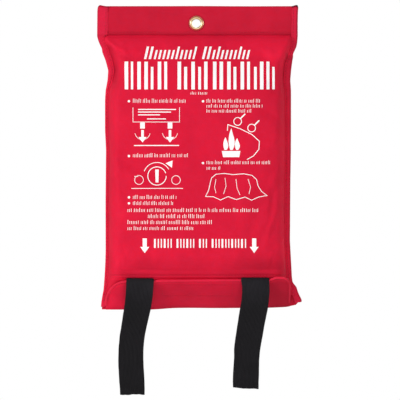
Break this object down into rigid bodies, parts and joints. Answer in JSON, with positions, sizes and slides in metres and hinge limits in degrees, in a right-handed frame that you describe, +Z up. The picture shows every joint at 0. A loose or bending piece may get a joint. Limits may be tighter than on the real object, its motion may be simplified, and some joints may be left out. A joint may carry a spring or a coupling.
{
  "type": "fire blanket",
  "caption": "Folded glass-cloth fire blanket in a red hanging fabric pouch with a header eyelet, a closure flap and black pull tabs at the lower opening.",
  "frame": {"origin": "middle of the pouch's flat back face", "axes": "+Z up, -Y is the front, +Y points into the wall, +X is to the viewer's right when facing the front"},
  "size_m": [0.2036, 0.0261, 0.3884],
  "materials": {
    "red_fabric": "satin",
    "red_binding": "satin",
    "eyelet_brass": "polished",
    "red_thread": "satin",
    "loop_pile": "matt",
    "hook_tape": "matt",
    "glass_cloth": "matt",
    "white_thread": "matt",
    "black_webbing": "matt",
    "black_thread": "matt"
  },
  "bodies": {
    "pouch": {"back_panel": "red_fabric", "front_panel": "red_fabric", "front_hem": "red_fabric", "header_band": "red_fabric", "eyelet": "eyelet_brass", "eyelet_washer": "eyelet_brass", "left_side_binding": "red_binding", "right_side_binding": "red_binding", "left_side_stitching": "red_thread", "right_side_stitching": "red_thread", "header_stitching": "red_thread", "hem_stitching": "red_thread", "loop_strip": "loop_pile", "loop_strip_stitching": "red_thread"},
    "flap": {"closure_flap": "red_fabric", "flap_binding": "red_binding", "hook_strip": "hook_tape", "hook_strip_stitching": "red_thread"},
    "blanket": {"fire_blanket": "glass_cloth", "blanket_hem_stitching": "white_thread", "left_tab_root": "black_webbing", "right_tab_root": "black_webbing", "left_tab_stitching": "black_thread", "right_tab_stitching": "black_thread"},
    "left_tab_tail": {"left_tab": "black_webbing"},
    "right_tab_tail": {"right_tab": "black_webbing"}
  },
  "joints": [
    {"name": "blanket_release", "type": "slide", "parent": "pouch", "child": "blanket", "axis": [0, 0, -1], "range_m": [0, 0.24], "deforming": ["closure_flap", "flap_binding", "hook_strip", "hook_strip_stitching", "front_hem", "loop_strip", "loop_strip_stitching", "hem_stitching"]},
    {"name": "flap_open", "type": "hinge", "parent": "pouch", "child": "flap", "pos_m": [0, -0.0003, -0.1504], "axis": [1, 0, 0], "range_deg": [0, 141.8]},
    {"name": "left_tab_swing", "type": "hinge", "parent": "blanket", "child": "left_tab_tail", "pos_m": [-0.0573, -0.02335, -0.12333], "axis": [-1, 0, 0], "range_deg": [0, 150]},
    {"name": "right_tab_swing", "type": "hinge", "parent": "blanket", "child": "right_tab_tail", "pos_m": [0.0579, -0.02335, -0.12333], "axis": [-1, 0, 0], "range_deg": [0, 150]}
  ],
  "couplings": [
    {"joint": "flap_open", "follows": "blanket_release", "rad_per_m": 10.31}
  ]
}
